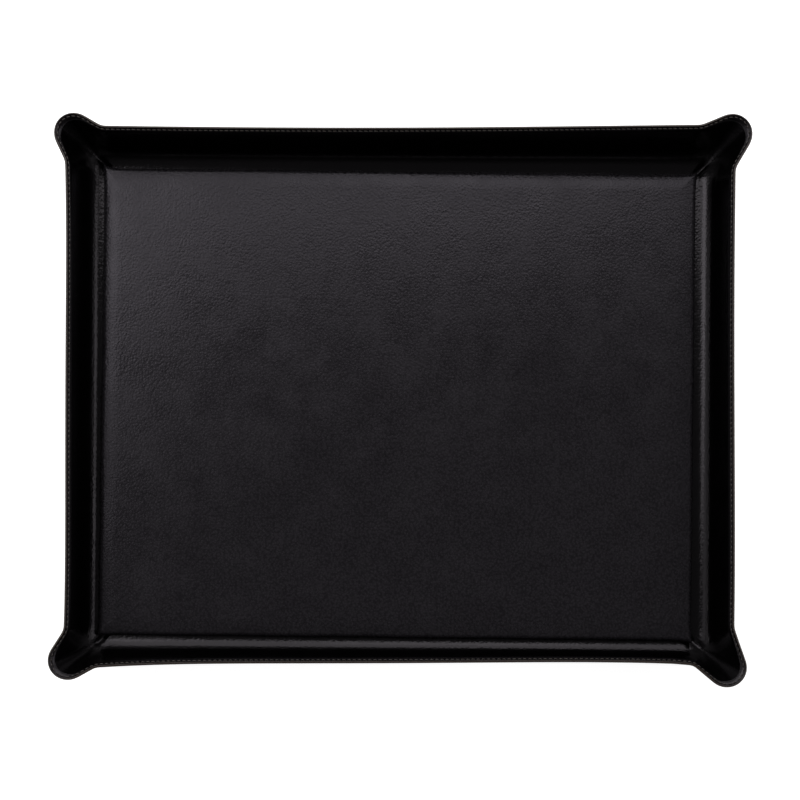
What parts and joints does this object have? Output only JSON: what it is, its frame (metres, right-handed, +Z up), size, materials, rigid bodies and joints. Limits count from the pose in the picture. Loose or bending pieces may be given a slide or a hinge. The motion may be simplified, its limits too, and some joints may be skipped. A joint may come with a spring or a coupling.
{
  "type": "decorative tray",
  "caption": "Shallow rectangular leather tray with stitched steep walls, rounded pouring-lip corners and a flat padded panel in its floor.",
  "frame": {"origin": "centre of the underside, on the table", "axes": "+X along the long side, +Y along the short side, +Z up out of the tray"},
  "size_m": [0.4046, 0.329, 0.0403],
  "materials": {
    "wall_leather": "fine-grained, satin",
    "panel_leather": "fine-grained, soft satin",
    "leather_board": "bonded fibre board, matt",
    "grey_board": "grey board, matt",
    "foam": "thin backing foam",
    "felt": "short black felt"
  },
  "bodies": {
    "root": {"outer_leather": "wall_leather", "lining_leather": "wall_leather", "floor_board": "leather_board", "wall_stiffener_back": "leather_board", "wall_stiffener_front": "leather_board", "wall_stiffener_left": "leather_board", "wall_stiffener_right": "leather_board", "pad_leather": "panel_leather", "pad_board": "grey_board", "pad_foam": "foam", "base_felt": "felt"}
  },
  "joints": []
}
